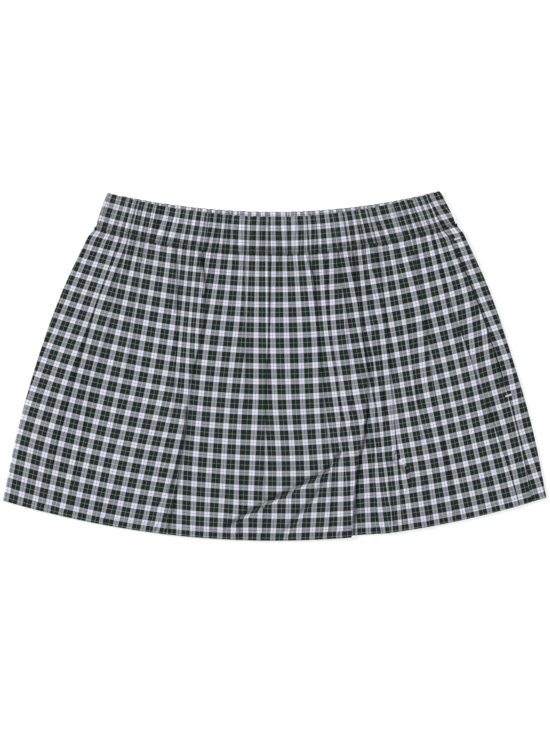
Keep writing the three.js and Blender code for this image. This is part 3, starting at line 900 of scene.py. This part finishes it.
BACK_CREASES = table(
    ("rise", "west", "east", "line"),
    (0.9, 10, 16, [(-225, 40), (-240, -40), (-246, -100)]),
    (0.8, 14, 7, [(-130, 60), (-150, -40), (-158, -130)]),
    (1.1, 12, 4, [(-70, -20), (-40, -70), (20, -110)]),
    (0.9, 8, 14, [(50, 70), (56, 0), (58, -60)]),
    (0.8, 6, 13, [(96, -40), (108, -100), (112, -150)]),
    (1.0, 5, 11, [(230, 20), (200, -50), (176, -80)]),
    (0.8, 9, 9, [(-4, 90), (-8, 20), (-6, -30)]),
)


def back_path(row, folds):
    """One row of the back, from its left side seam to its right one, rolled up on the front."""
    grid = np.arange(row["left_x"] - 6, row["right_x"] + 6, 0.25)
    ground = back_height(row, grid)
    low = row["low"]
    high = front_height(row, np.array([row["right_x"]]))[0]
    radius = (high - low) / 2
    crease_x = row["right_x"] - radius - row["wall"] / 2
    parts = []
    from_x = row["left_x"] + WRAP + 0.3
    for i in range(len(folds) + 1):
        to_x = crease_x if i == len(folds) else folds[i]["start"]
        lifted = ground + lift_before(row, folds, i, grid)
        x, z, turn = strip(from_x, to_x, BACK_STEPS[i], grid, lifted)
        first = 0 if i == 0 else 1
        parts.append((x[first:], z[first:], turn[first:]))
        if i < len(folds):
            under = ground + lift_before(row, folds, i + 1 if folds[i]["left_on_top"] else i, grid)
            parts.append(fold_points(folds[i], grid, under))
            from_x = folds[i]["end"]
    turn = np.linspace(0.0, math.pi, 9)
    parts.append((crease_x + np.sin(turn) * radius, low + radius - np.cos(turn) * radius, turn))
    seam_x = row["right_x"] - WRAP + 0.9 + pocket_slit(row)
    x = np.linspace(crease_x, seam_x, 9)[1:]
    parts.append((x, np.full_like(x, high), np.full_like(x, math.pi)))
    edge_x, edge_z, edge_turn = rolled_edge(np.full(3, seam_x), high, -1)
    parts.append((edge_x, edge_z, math.pi + edge_turn))
    x, z, turn = [np.concatenate([part[i] for part in parts]) for i in range(3)]
    known = np.full_like(x, np.nan)
    known[0] = row["left_cloth"]
    known[np.argmax(x)] = row["seam_cloth"]
    return x, z, turn, known


back_outer, back_inner, back_across, back_down = panel_sheets(
    back_path, BACK_FOLDS, True, [0] * 5, BACK_SEAM_CLOTH, [[0] * 5] * 5
)
back_cloth = shell_mesh("back_cloth", back_outer, back_inner, back_across, back_down)
back_cloth.data.materials.append(checked_cotton)
declare(back_cloth, "back_panel")

# Waist casings
# The top of each panel is turned down over elastic and stitched with two rows. The elastic
# gathers it into small upright tucks.
BAND_ROWS = table(
    ROW_COLUMNS,
    (-184.1, 190.3, 163.9, 181.9, 192.2),
    (-197.7, 151.3, 122.1, 200.3, 155.1),
)
BAND_DEPTH = 42.0
BAND_HALF = 1.62
BAND_RADIUS = 2.1
BAND_STEPS = 820
# Half of the casing's thickness at distances from its stitched edge, and the two steps of it
# that the rows of stitching run along
BAND_SECTION = [
    (0.0, 0.25), (0.7, 0.62), (1.6, 0.45), (2.6, 0.85), (3.6, 0.92), (5.0, 0.6), (6.4, 1.15),
    (8.5, 1.42), (12.0, 1.55), (16.0, 1.6), (20.0, 1.62), (24.0, 1.62), (28.0, 1.6), (32.0, 1.56),
    (36.0, 1.45), (38.5, 1.3), (40.2, 1.05), (41.3, 0.72), (41.85, 0.36), (42.0, 0.0),
]
STITCHED_STEPS = (2, 5)


def band_path(row, back):
    """One row of a band, which wraps round its own side of the skirt: across, heights, turns."""
    low = BAND_HALF + WALL / 2
    high = low + 2 * BAND_RADIUS
    left_x = row["left_x"] + BAND_RADIUS + low
    right_x = row["right_x"] - BAND_RADIUS - low
    turn_up = np.linspace(math.pi, 0.0, 13) if not back else np.linspace(0.0, math.pi, 13)
    if back:
        x = np.linspace(row["left_x"] + WRAP + 0.3, right_x, BAND_STEPS)[:-1]
        end = np.linspace(right_x, row["right_x"] - WRAP + 0.2, 13)[1:]
        edge_z = high - BAND_RADIUS * (1 + np.cos(turn_up))
        parts = [
            (x, x * 0 + low, x * 0),
            (right_x + np.sin(turn_up) * BAND_RADIUS, edge_z, turn_up),
            (end, end * 0 + high, end * 0 + math.pi),
        ]
    else:
        start = np.linspace(row["left_x"] + WRAP, left_x, 13)[:-1]
        x = np.linspace(left_x, row["right_x"] - WRAP - 0.2, BAND_STEPS)[1:]
        edge_z = high - BAND_RADIUS * (1 - np.cos(turn_up))
        parts = [
            (start, start * 0 + low, start * 0 + math.pi),
            (left_x - np.sin(turn_up) * BAND_RADIUS, edge_z, turn_up),
            (x, x * 0 + high, x * 0),
        ]
    return [np.concatenate([part[i] for part in parts]) for i in range(3)]


def tucks(place, wide):
    """0 on the crowns between the casing's tucks, up to 1 at the bottom of each."""
    depth = np.zeros_like(place)
    for gather in GATHERS:
        away = (place - gather["at"]) / (wide * gather["wide"])
        depth += min(1.0, 0.45 + 0.5 * gather["deep"]) * np.exp(-(away**2))
    return np.minimum(depth, 1.0)


def band_lean(place):
    """How far the warp leans across the casing, drawn aslant by the elastic."""
    return 2.3 * np.sin(place * 0.043 - 3.7) + 1.4 * np.sin(place * 0.117 + 0.4) - 0.9


def casing(name, back, across_at, node):
    """A casing as one sheet of cloth that runs up its outside, over the fold and down inside."""
    section = BAND_SECTION + [(d, -h) for d, h in BAND_SECTION[-2::-1]]
    outer, across, down = [], [], []
    way = -1.0 if back else 1.0
    seam_row = row_at(BAND_ROWS, 1.0, back)
    for step, (distance, half) in enumerate(section):
        folded = step >= len(BAND_SECTION)
        row = row_at(BAND_ROWS, 1 - distance / BAND_DEPTH, back)
        row["back_rise"] = BACK_RISE_AT_BAND if back else 0.0
        x, z, turn = band_path(row, back)
        half_width = np.where(x < 0, -row["left_x"], row["right_x"])
        place = x / half_width * STRAND_LEFT
        tuck = tucks(place, 0.72)
        fullness = math.sin(math.pi * min(1.0, distance / BAND_DEPTH)) * 0.5 + 0.5
        offset = way * half * (1 - 0.8 * tuck * fullness)
        centre = on_row(row, x, z, turn, offset)
        centre[:, 1] -= 0.7 * tuck * smooth(distance, 30.0, BAND_DEPTH)
        near_seam = math.exp(-(((distance - 3.3) / 3.5) ** 2))
        outward = np.cos(turn) * way * np.sign(half)
        centre[:, 2] += outward * -0.25 * near_seam * tucks(place + 4.2, 0.5)
        seam_x = x / half_width * np.where(x < 0, -seam_row["left_x"], seam_row["right_x"])
        lean = band_lean(place) * min(1.0, distance / 30.0) * (-1.0 if folded else 1.0)
        across.append(across_at(seam_x, turn > math.pi / 2) + lean)
        down.append(np.full_like(x, -distance if not folded else -2 * BAND_DEPTH + distance))
        outer.append(centre)
    outer = np.array(outer)
    along_row = np.gradient(outer, axis=1)
    down_row = np.gradient(outer, axis=0)
    normal = np.cross(along_row, -down_row)
    normal /= np.linalg.norm(normal, axis=2, keepdims=True) + 1e-9
    shift = normal * WALL / 2
    piece = shell_mesh(name, outer + shift, outer - shift, np.array(across), np.array(down))
    piece.data.materials.append(checked_cotton)
    declare(piece, node)
    away = np.array([0.0, 0.0, way]) * (WALL / 2 + 0.1)
    return piece, [outer[step][turn < math.pi / 2] + away for step in STITCHED_STEPS]


def strands_at_edge(x, across):
    """Cloth across at places of the stitched edge, where each fold shrinks to a small tuck."""
    order = np.maximum.accumulate(x) + np.arange(len(x)) * 1e-6
    places = np.arange(order[0], order[-1], 0.5)
    values = np.interp(places, order, across)
    crowded = np.cumsum(1 + 2.4 * tucks(places, 0.8))
    return places, gaussian_mean(values, 5) + 0.42 * (crowded - gaussian_mean(crowded, 26))


def gaussian_mean(values, steps):
    """Each value as a mean of its neighbours, weighted by a bell curve."""
    weights = np.exp(-((np.arange(-3 * steps, 3 * steps + 1) / steps) ** 2))
    padded = np.pad(values, 3 * steps, mode="reflect", reflect_type="odd")
    return np.convolve(padded, weights / weights.sum(), "valid")


def front_across_at(seam_x, under):
    """The strand of front cloth at each place of the stitched edge."""
    left = int(np.argmin(front_outer[0][:, 0]))
    places, values = strands_at_edge(front_outer[0][left:, 0], front_across[0][left:])
    below = front_across[0][left] - (seam_x - front_outer[0][left, 0])
    return np.where(under, below, np.interp(seam_x, places, values))


def back_across_at(seam_x, past):
    """The strand of back cloth at each place of the stitched edge."""
    right = int(np.argmax(back_outer[0][:, 0]))
    places, values = strands_at_edge(back_outer[0][: right + 1, 0], back_across[0][: right + 1])
    top = back_across[0][right] + (back_outer[0][right, 0] - seam_x)
    return np.where(past, top, np.interp(seam_x, places, values))


front_band, front_band_lines = casing("front_band", False, front_across_at, "front_casing")
back_band, back_band_lines = casing("back_band", True, back_across_at, "back_casing")

# Pocket pouch
# A bag of plain white cotton in the right side seam, one piece folded at its inner edge. It lies
# under the front, whose cloth it lifts a little.
POUCH_WALL = 0.26
POUCH_HALF_GAP = 0.3
POUCH_LEVELS = np.linspace(0.055, 0.86, 60)
pocket_cotton, tree, surface = new_material("pocket cotton")
pouch_x, pouch_y = cloth_places(tree)
pouch_weave = pouch_x.math("SINE", pouch_x * 6.5) * pouch_x.math("SINE", pouch_y * 6.5)
pouch_tone = 0.9 + 0.12 * slubs(pouch_x, pouch_x, pouch_y, 1.0, 12.0, 2.0)
add_colour(pouch_x, surface, linear(232, 231, 236)[:3], pouch_tone)
add_bump(pouch_x, surface, 0.5, pouch_weave * 0.04)
set_inputs(surface, {"Roughness": 0.9})

pouch_outer, pouch_inner, pouch_across, pouch_down = [], [], [], []
for level in POUCH_LEVELS.tolist():
    row = row_at(BODY_ROWS, level)
    mouth = row["right_x"] - WRAP - 2.0
    fold_x = mouth - pouch_depth(level) + 4.0
    x = np.linspace(mouth, fold_x, 40)
    upper = front_height(row, x) - 0.55 - 0.25 * (1 - smooth(x, fold_x, fold_x + 12))
    turn = np.linspace(0, math.pi, 7)[1:-1]
    fold_z = upper[-1] - POUCH_HALF_GAP * (1 - np.cos(turn))
    x_all = np.concatenate([x, fold_x - POUCH_HALF_GAP * np.sin(turn), x[::-1]])
    z_all = np.concatenate([upper, fold_z, upper[::-1] - 2 * POUCH_HALF_GAP])
    turns = np.concatenate([x * 0, turn, x * 0 + math.pi])
    pouch_outer.append(on_row(row, x_all, z_all, turns, POUCH_WALL / 2))
    pouch_inner.append(on_row(row, x_all, z_all, turns, -POUCH_WALL / 2))
    steps = np.abs(np.diff(x_all)) + np.abs(np.diff(z_all))
    pouch_across.append(np.concatenate([[0], np.cumsum(steps)]))
    pouch_down.append(np.full_like(x_all, level * CUT_LENGTH))
pouch_sheets = [np.array(rows) for rows in (pouch_outer, pouch_inner, pouch_across, pouch_down)]
pocket_pouch = shell_mesh("pocket_pouch", *pouch_sheets)
pocket_pouch.data.materials.append(pocket_cotton)
declare(pocket_pouch, "pocket_bag")

# Sewing thread
# Dark green lockstitches along the hems and the casings, and two white bartacks that close the
# ends of the pocket opening.
STITCH_PITCH = 0.003
STITCH_LENGTH = 0.0024
THREAD_WIDTH = 0.00036
# Level of each bartack down the skirt, and how far it stands off the seam in millimetres
BARTACKS = [(0.043, 8.5), (0.625, 1.6)]
BARTACK_LENGTH = 7.0
BARTACK_WIDTH = 1.8
TACK_PASSES = 24
SHORTEST_LINE = 3


def thread_material(name, colour):
    material, tree, surface = new_material(name)
    set_inputs(surface, {"Base Color": colour, "Roughness": 0.6, "Sheen Weight": 0.2})
    return material


green_thread = thread_material("green thread", linear(40, 58, 46))
white_thread = thread_material("white thread", linear(238, 238, 244))


def node_tree(name, inputs):
    """A geometry tree with named inputs, each a kind of socket and its first value."""
    tree = bpy.data.node_groups.new(name, "GeometryNodeTree")
    tree.interface.new_socket("Geometry", in_out="INPUT", socket_type="NodeSocketGeometry")
    tree.interface.new_socket("Geometry", in_out="OUTPUT", socket_type="NodeSocketGeometry")
    for label, kind, value in inputs:
        socket = tree.interface.new_socket(label, in_out="INPUT", socket_type=kind)
        if value is not None:
            socket.default_value = value
    return tree, tree.nodes.new("NodeGroupInput"), tree.nodes.new("NodeGroupOutput")


stitches, group_in, group_out = node_tree(
    "running stitches",
    [
        ("Pitch", "NodeSocketFloat", STITCH_PITCH),
        ("Length", "NodeSocketFloat", STITCH_LENGTH),
        ("Width", "NodeSocketFloat", THREAD_WIDTH),
        ("Thread", "NodeSocketMaterial", None),
    ],
)
to_curve = stitches.nodes.new("GeometryNodeMeshToCurve")
to_points = stitches.nodes.new("GeometryNodeCurveToPoints")
to_points.mode = "LENGTH"
ball = stitches.nodes.new("GeometryNodeMeshUVSphere")
set_inputs(ball, {"Segments": 8, "Rings": 6, "Radius": 0.5})
size = stitches.nodes.new("ShaderNodeCombineXYZ")
face = stitches.nodes.new("FunctionNodeAlignRotationToVector")
face.axis = "Z"
place = stitches.nodes.new("GeometryNodeInstanceOnPoints")
real = stitches.nodes.new("GeometryNodeRealizeInstances")
paint = stitches.nodes.new("GeometryNodeSetMaterial")
for start, end in (
    (group_in.outputs["Geometry"], to_curve.inputs["Mesh"]),
    (to_curve.outputs["Curve"], to_points.inputs["Curve"]),
    (group_in.outputs["Pitch"], to_points.inputs["Length"]),
    (to_points.outputs["Points"], place.inputs["Points"]),
    (to_points.outputs["Tangent"], face.inputs["Vector"]),
    (face.outputs["Rotation"], place.inputs["Rotation"]),
    (ball.outputs["Mesh"], place.inputs["Instance"]),
    (group_in.outputs["Width"], size.inputs["X"]),
    (group_in.outputs["Width"], size.inputs["Y"]),
    (group_in.outputs["Length"], size.inputs["Z"]),
    (size.outputs["Vector"], place.inputs["Scale"]),
    (place.outputs["Instances"], real.inputs["Geometry"]),
    (real.outputs["Geometry"], paint.inputs["Geometry"]),
    (group_in.outputs["Thread"], paint.inputs["Material"]),
    (paint.outputs["Geometry"], group_out.inputs["Geometry"]),
):
    stitches.links.new(start, end)

satin, group_in, group_out = node_tree(
    "satin thread",
    [("Width", "NodeSocketFloat", THREAD_WIDTH), ("Thread", "NodeSocketMaterial", None)],
)
to_curve = satin.nodes.new("GeometryNodeMeshToCurve")
circle = satin.nodes.new("GeometryNodeCurvePrimitiveCircle")
circle.inputs["Resolution"].default_value = 6
half_width = satin.nodes.new("ShaderNodeMath")
half_width.operation = "MULTIPLY"
half_width.inputs[1].default_value = 0.5
sweep = satin.nodes.new("GeometryNodeCurveToMesh")
sweep.inputs["Fill Caps"].default_value = True
real = satin.nodes.new("GeometryNodeRealizeInstances")
paint = satin.nodes.new("GeometryNodeSetMaterial")
for start, end in (
    (group_in.outputs["Geometry"], to_curve.inputs["Mesh"]),
    (to_curve.outputs["Curve"], sweep.inputs["Curve"]),
    (group_in.outputs["Width"], half_width.inputs[0]),
    (half_width.outputs["Value"], circle.inputs["Radius"]),
    (circle.outputs["Curve"], sweep.inputs["Profile Curve"]),
    (sweep.outputs["Mesh"], real.inputs["Geometry"]),
    (real.outputs["Geometry"], paint.inputs["Geometry"]),
    (group_in.outputs["Thread"], paint.inputs["Material"]),
    (paint.outputs["Geometry"], group_out.inputs["Geometry"]),
):
    satin.links.new(start, end)


def sewn(name, lines, tree, settings):
    """Thread along lines of points in millimetres, as a plain mesh. settings are the values of
    the tree's inputs."""
    points, edges = [], []
    for line in lines:
        edges += [(len(points) + i, len(points) + i + 1) for i in range(len(line) - 1)]
        points += [tuple(float(value) * 0.001 for value in point) for point in line]
    guide_mesh = bpy.data.meshes.new(name + " guide")
    guide_mesh.from_pydata(points, edges, [])
    guide = bpy.data.objects.new(name + " guide", guide_mesh)
    bpy.context.collection.objects.link(guide)
    modifier = guide.modifiers.new("thread", "NODES")
    modifier.node_group = tree
    for item in tree.interface.items_tree:
        if item.in_out == "INPUT" and item.name in settings:
            modifier[item.identifier] = settings[item.name]
    evaluated = guide.evaluated_get(bpy.context.evaluated_depsgraph_get())
    mesh = bpy.data.meshes.new_from_object(evaluated)
    mesh.name = name
    obj = bpy.data.objects.new(name, mesh)
    bpy.context.collection.objects.link(obj)
    mesh.materials.clear()
    mesh.materials.append(settings["Thread"])
    mesh.polygons.foreach_set("material_index", np.zeros(len(mesh.polygons), dtype=np.int32))
    bpy.data.objects.remove(guide)
    bpy.data.meshes.remove(guide_mesh)
    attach(obj, "root")


def shown_lines(sheet):
    """The stretches of a row that show, without the cloth hidden inside its folds."""
    lines, line = [], []
    for i in range(1, len(sheet)):
        step = sheet[i] - sheet[i - 1]
        if step[0] > 0 and abs(step[2]) < abs(step[0]):
            line.append(sheet[i])
        else:
            lines.append(line)
            line = []
    return [each for each in lines + [line] if len(each) > SHORTEST_LINE]


hem_row = int(np.argmin(np.abs(PANEL_LEVELS - (1 - HEM_STITCH / CUT_LENGTH))))
front_hem = front_outer[hem_row] + np.array([0, 0, 0.1])
back_hem = back_inner[hem_row] + np.array([0, 0, 0.04])
lockstitch = {"Pitch": STITCH_PITCH, "Length": STITCH_LENGTH, "Width": THREAD_WIDTH}
lockstitch["Thread"] = green_thread
hem_lines = shown_lines(front_hem) + shown_lines(back_hem)
sewn("hem_thread", hem_lines, stitches, lockstitch)
band_lines = front_band_lines + back_band_lines
sewn("casing_thread", band_lines, stitches, lockstitch)
tack_lines = []
for level, shift in BARTACKS:
    row_index = int(np.argmin(np.abs(PANEL_LEVELS - level)))
    seam = front_outer[row_index][-4].copy()
    seam[2] = max(sheet[row_index][-12:, 2].max() for sheet in (back_outer, back_inner))
    seam[2] = max(seam[2], front_outer[row_index][-6:, 2].max()) + 0.15
    slope = (front_outer[row_index][-4] - front_outer[row_index][-9]) * np.array([1, 1, 0])
    along_row = slope / np.linalg.norm(slope)
    down_cloth = np.cross([0, 0, 1], along_row)
    zigzag = []
    for k in range(TACK_PASSES):
        reach = (k / (TACK_PASSES - 1) - 0.5) * BARTACK_LENGTH
        sides = (0.5, -0.5) if k % 2 else (-0.5, 0.5)
        for side in sides:
            zigzag.append(seam + along_row * (reach + shift) + down_cloth * side * BARTACK_WIDTH)
    tack_lines.append(zigzag)
satin_stitch = {"Width": THREAD_WIDTH, "Thread": white_thread}
sewn("bartacks", tack_lines, satin, satin_stitch)

# Floor, light and camera
# The photograph is a cut-out on white, taken from straight above.
FLOOR_HALF = 3
FLOOR_HEIGHT = -0.0002
FLOOR_GLOW = 0.62
WORLD_STRENGTH = 0.34
SENSOR = 36.0
LENS = 85.0
VIEW_HEIGHT = 0.8063
VIEW_CENTRE = (0.000275, -0.00055)
WHITE = (1.0, 1.0, 1.0, 1.0)
floor_mesh = bpy.data.meshes.new("floor")
sides = ((-1, -1), (1, -1), (1, 1), (-1, 1))
corners = [(x * FLOOR_HALF, y * FLOOR_HALF, FLOOR_HEIGHT) for x, y in sides]
floor_mesh.from_pydata(corners, [], [(0, 1, 2, 3)])
floor = bpy.data.objects.new("floor", floor_mesh)
bpy.context.collection.objects.link(floor)
floor_paint, tree, surface = new_material("floor paint")
set_inputs(surface, {"Base Color": (0.5, 0.5, 0.5, 1.0), "Roughness": 0.9})
set_inputs(surface, {"Emission Color": WHITE, "Emission Strength": FLOOR_GLOW})
floor.data.materials.append(floor_paint)


def lamp(name, place, size, power):
    """A round lamp that shines on the middle of the skirt."""
    light = bpy.data.lights.new(name, "AREA")
    light.shape = "DISK"
    light.size = size
    light.energy = power
    obj = bpy.data.objects.new(name, light)
    obj.location = place
    obj.rotation_euler = (-Vector(place)).to_track_quat("-Z", "Y").to_euler()
    bpy.context.collection.objects.link(obj)


lamp("key light", place=(-3.9, 1.6, 2.9), size=1.9, power=190)
lamp("right light", place=(4.0, 0.2, 2.3), size=1.4, power=84)
world = bpy.data.worlds.new("studio")
world.use_nodes = True
set_inputs(world.node_tree.nodes["Background"], {"Color": WHITE, "Strength": WORLD_STRENGTH})
bpy.context.scene.world = world
bpy.context.scene.view_settings.view_transform = "Standard"
camera_data = bpy.data.cameras.new("camera")
camera_data.lens = LENS
camera_data.sensor_width = SENSOR
camera = bpy.data.objects.new("camera", camera_data)
camera.location = (*VIEW_CENTRE, VIEW_HEIGHT * LENS / SENSOR)
bpy.context.collection.objects.link(camera)
bpy.context.scene.camera = camera
